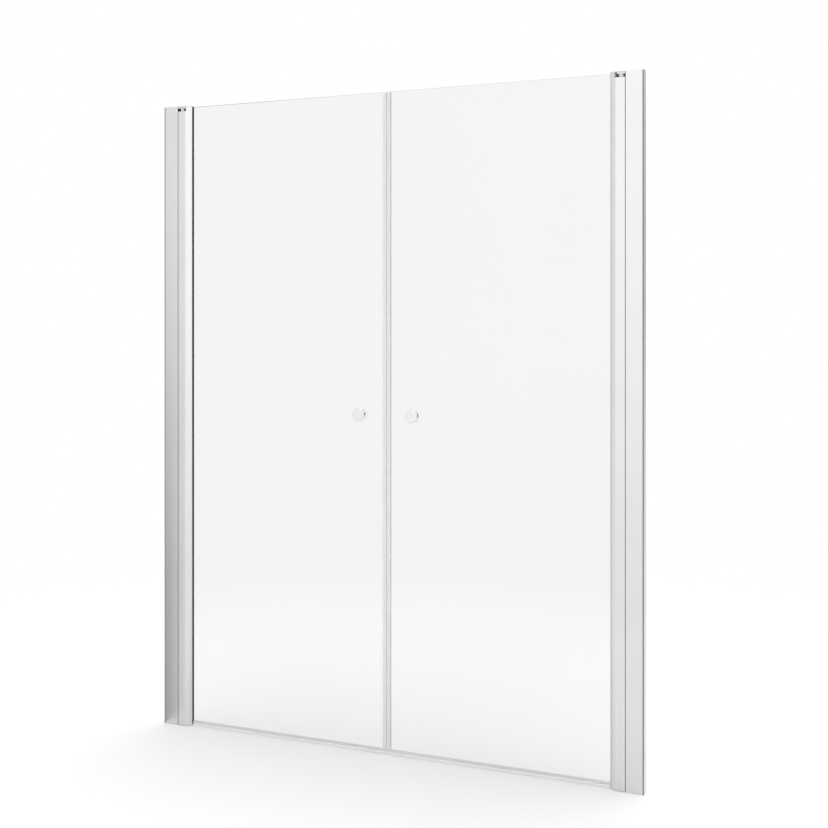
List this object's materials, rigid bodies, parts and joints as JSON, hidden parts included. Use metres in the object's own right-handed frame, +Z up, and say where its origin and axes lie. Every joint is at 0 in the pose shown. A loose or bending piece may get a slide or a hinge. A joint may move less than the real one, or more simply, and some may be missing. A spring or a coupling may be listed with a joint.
{
  "type": "saloon shower door",
  "caption": "Saloon shower door of clear glass leaves on aluminium wall posts, swinging in and out on pivots, with round chrome knobs, magnetic edge seals and drip seals.",
  "frame": {"origin": "on the floor, midway between the two walls and in the middle of the depth over the knobs; the middle of the closed glass is at Y = 0.0055 m", "axes": "+Z up, +X to the right seen from outside the shower, +Y into the shower"},
  "size_m": [1.57, 0.033, 2],
  "materials": {
    "aluminium": "satin anodised",
    "stainless": "plain",
    "bracket_metal": "die-cast, satin",
    "dark_rubber": "matt",
    "grey_plastic": "fine matt",
    "white_plastic": "satin",
    "dark_plastic": "matt",
    "glass": "clear, polished",
    "clear_seal": "translucent soft plastic",
    "magnet": "white-coated magnetic strip",
    "chrome": "polished"
  },
  "bodies": {
    "wall_frame": {"left_wall_channel": "aluminium", "left_wall_seals": "dark_rubber", "left_post_profile": "aluminium", "left_post_screws": "stainless", "left_wiper_seal": "dark_rubber", "left_top_cover": "grey_plastic", "left_top_bracket": "bracket_metal", "left_bottom_bracket": "bracket_metal", "left_top_bracket_screws": "stainless", "left_bottom_bracket_screws": "stainless", "left_top_pivot_pin": "stainless", "left_bottom_pivot_pin": "stainless", "left_lift_collar": "white_plastic", "left_thrust_washer": "white_plastic", "right_wall_channel": "aluminium", "right_wall_seals": "dark_rubber", "right_post_profile": "aluminium", "right_post_screws": "stainless", "right_wiper_seal": "dark_rubber", "right_top_cover": "grey_plastic", "right_top_bracket": "bracket_metal", "right_bottom_bracket": "bracket_metal", "right_top_bracket_screws": "stainless", "right_bottom_bracket_screws": "stainless", "right_top_pivot_pin": "stainless", "right_bottom_pivot_pin": "stainless", "right_lift_collar": "white_plastic", "right_thrust_washer": "white_plastic"},
    "left_leaf": {"left_hinge_profile": "aluminium", "left_top_end_cap": "grey_plastic", "left_bottom_end_cap": "grey_plastic", "left_top_pivot_insert": "dark_plastic", "left_bottom_pivot_insert": "dark_plastic", "left_glazing_gasket": "dark_rubber", "left_glass_panel": "glass", "left_edge_seal": "clear_seal", "left_magnet_strip": "magnet", "left_drip_seal": "clear_seal", "left_outer_knob": "chrome", "left_inner_knob": "chrome", "left_knob_stud": "stainless", "left_knob_washers": "clear_seal"},
    "right_leaf": {"right_hinge_profile": "aluminium", "right_top_end_cap": "grey_plastic", "right_bottom_end_cap": "grey_plastic", "right_top_pivot_insert": "dark_plastic", "right_bottom_pivot_insert": "dark_plastic", "right_glazing_gasket": "dark_rubber", "right_glass_panel": "glass", "right_edge_seal": "clear_seal", "right_magnet_strip": "magnet", "right_drip_seal": "clear_seal", "right_outer_knob": "chrome", "right_inner_knob": "chrome", "right_knob_stud": "stainless", "right_knob_washers": "clear_seal"}
  },
  "joints": [
    {"name": "left_leaf_swing", "type": "hinge", "parent": "wall_frame", "child": "left_leaf", "pos_m": [-0.7196, -0.0015, 0], "axis": [0, 0, 1], "range_deg": [-90, 90]},
    {"name": "right_leaf_swing", "type": "hinge", "parent": "wall_frame", "child": "right_leaf", "pos_m": [0.7196, -0.0015, 0], "axis": [0, 0, -1], "range_deg": [-90, 90]}
  ]
}
